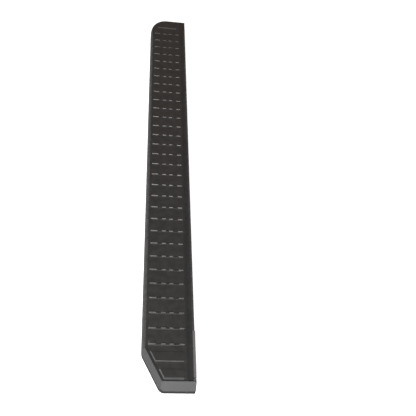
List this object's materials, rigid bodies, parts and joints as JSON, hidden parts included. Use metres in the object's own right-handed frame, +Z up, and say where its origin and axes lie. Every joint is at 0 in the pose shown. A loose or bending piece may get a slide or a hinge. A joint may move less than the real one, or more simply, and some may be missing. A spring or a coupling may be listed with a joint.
{
  "type": "running board",
  "caption": "Vehicle running board: extruded rail with a moulded ribbed tread, an angled and a rounded end cap, and sliding T-bolts for the brackets.",
  "frame": {"origin": "middle of the board's footprint, on the plane it rests on", "axes": "+Y along the board from the angled end to the rounded end, +X towards the vehicle, +Z up through the tread"},
  "size_m": [0.165, 1.876, 0.046],
  "materials": {
    "powder_coated_rail": "satin black powder coat",
    "moulded_tread": "fine-textured matte black",
    "moulded_cap": "fine-textured matte black",
    "zinc_plated_steel": "zinc plated",
    "black_nylon": "moulded black",
    "natural_nylon": "moulded, off-white",
    "foam_tape": "dark grey foam",
    "black_rubber": "matte black"
  },
  "bodies": {
    "board": {"main_rail": "powder_coated_rail", "tread_cover": "moulded_tread", "angled_end_cap": "moulded_cap", "rounded_end_cap": "moulded_cap", "angled_cap_screws": "zinc_plated_steel", "rounded_cap_screws": "zinc_plated_steel", "cover_clips": "black_nylon", "cover_tapes": "foam_tape", "channel_stops": "black_rubber"},
    "angled_outer_bolt": {"t_bolt_angled_outer": "zinc_plated_steel", "bolt_retainer_angled_outer": "natural_nylon"},
    "angled_inner_bolt": {"t_bolt_angled_inner": "zinc_plated_steel", "bolt_retainer_angled_inner": "natural_nylon"},
    "middle_outer_bolt": {"t_bolt_middle_outer": "zinc_plated_steel", "bolt_retainer_middle_outer": "natural_nylon"},
    "middle_inner_bolt": {"t_bolt_middle_inner": "zinc_plated_steel", "bolt_retainer_middle_inner": "natural_nylon"},
    "rounded_outer_bolt": {"t_bolt_rounded_outer": "zinc_plated_steel", "bolt_retainer_rounded_outer": "natural_nylon"},
    "rounded_inner_bolt": {"t_bolt_rounded_inner": "zinc_plated_steel", "bolt_retainer_rounded_inner": "natural_nylon"}
  },
  "joints": [
    {"name": "angled_outer_bolt_slide", "type": "slide", "parent": "board", "child": "angled_outer_bolt", "axis": [0, 1, 0], "range_m": [-0.25, 0.25]},
    {"name": "angled_inner_bolt_slide", "type": "slide", "parent": "board", "child": "angled_inner_bolt", "axis": [0, 1, 0], "range_m": [-0.25, 0.25]},
    {"name": "middle_outer_bolt_slide", "type": "slide", "parent": "board", "child": "middle_outer_bolt", "axis": [0, 1, 0], "range_m": [-0.25, 0.25]},
    {"name": "middle_inner_bolt_slide", "type": "slide", "parent": "board", "child": "middle_inner_bolt", "axis": [0, 1, 0], "range_m": [-0.25, 0.25]},
    {"name": "rounded_outer_bolt_slide", "type": "slide", "parent": "board", "child": "rounded_outer_bolt", "axis": [0, 1, 0], "range_m": [-0.25, 0.25]},
    {"name": "rounded_inner_bolt_slide", "type": "slide", "parent": "board", "child": "rounded_inner_bolt", "axis": [0, 1, 0], "range_m": [-0.25, 0.25]}
  ]
}
